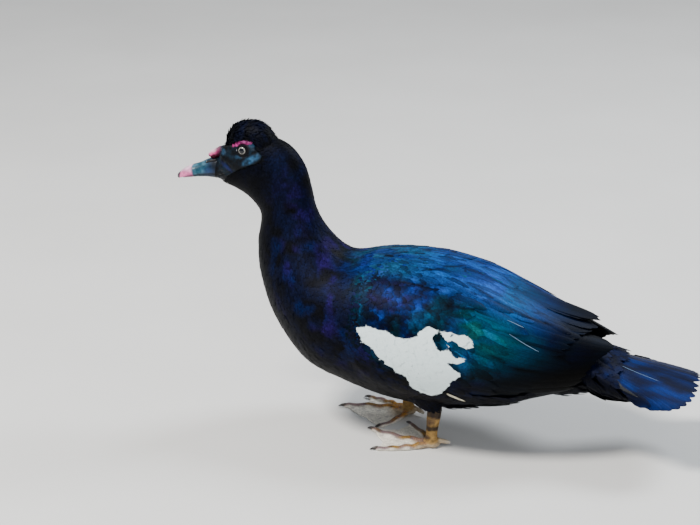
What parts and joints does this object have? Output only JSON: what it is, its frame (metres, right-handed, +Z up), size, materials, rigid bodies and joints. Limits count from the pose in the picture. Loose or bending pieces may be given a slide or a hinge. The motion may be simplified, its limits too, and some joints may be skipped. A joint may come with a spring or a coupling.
{
  "type": "muscovy duck",
  "caption": "Life-size muscovy drake as a still model, standing with wings folded and head raised, rounded crest, knobbed bill and broad tail.",
  "frame": {"origin": "on the floor, under the middle of the length and width", "axes": "the bird faces -Y, its left side is +X, +Z is up"},
  "size_m": [0.2276, 0.7048, 0.4128],
  "materials": {
    "plumage": "near-black feathers with a blue and violet gloss",
    "crest": "near-black curled feathers",
    "wing": "blue-green glossy feathers with a white patch",
    "tail": "dark blue glossy feathers",
    "bill": "blue-grey horn with a pink tip",
    "knob": "pink warty skin",
    "eye": "wet, pale ring round a dark pupil",
    "leg": "scaled ochre and grey skin",
    "claw": "dark horn"
  },
  "bodies": {
    "root": {"head": "plumage", "neck_upper": "plumage", "neck_lower": "plumage", "trunk": "plumage", "crest": "crest", "wing_left": "wing", "wing_right": "wing", "tail": "tail", "shank_left": "plumage", "shank_right": "plumage", "tarsus_left": "leg", "tarsus_right": "leg", "foot_left": "leg", "foot_right": "leg", "toe_hind_left": "leg", "toe_hind_right": "leg", "claw_left_inner": "claw", "claw_left_middle": "claw", "claw_left_outer": "claw", "claw_right_inner": "claw", "claw_right_middle": "claw", "claw_right_outer": "claw", "bill_upper": "bill", "bill_lower": "bill", "knob": "knob", "eye_left": "eye", "eye_right": "eye"}
  },
  "joints": []
}
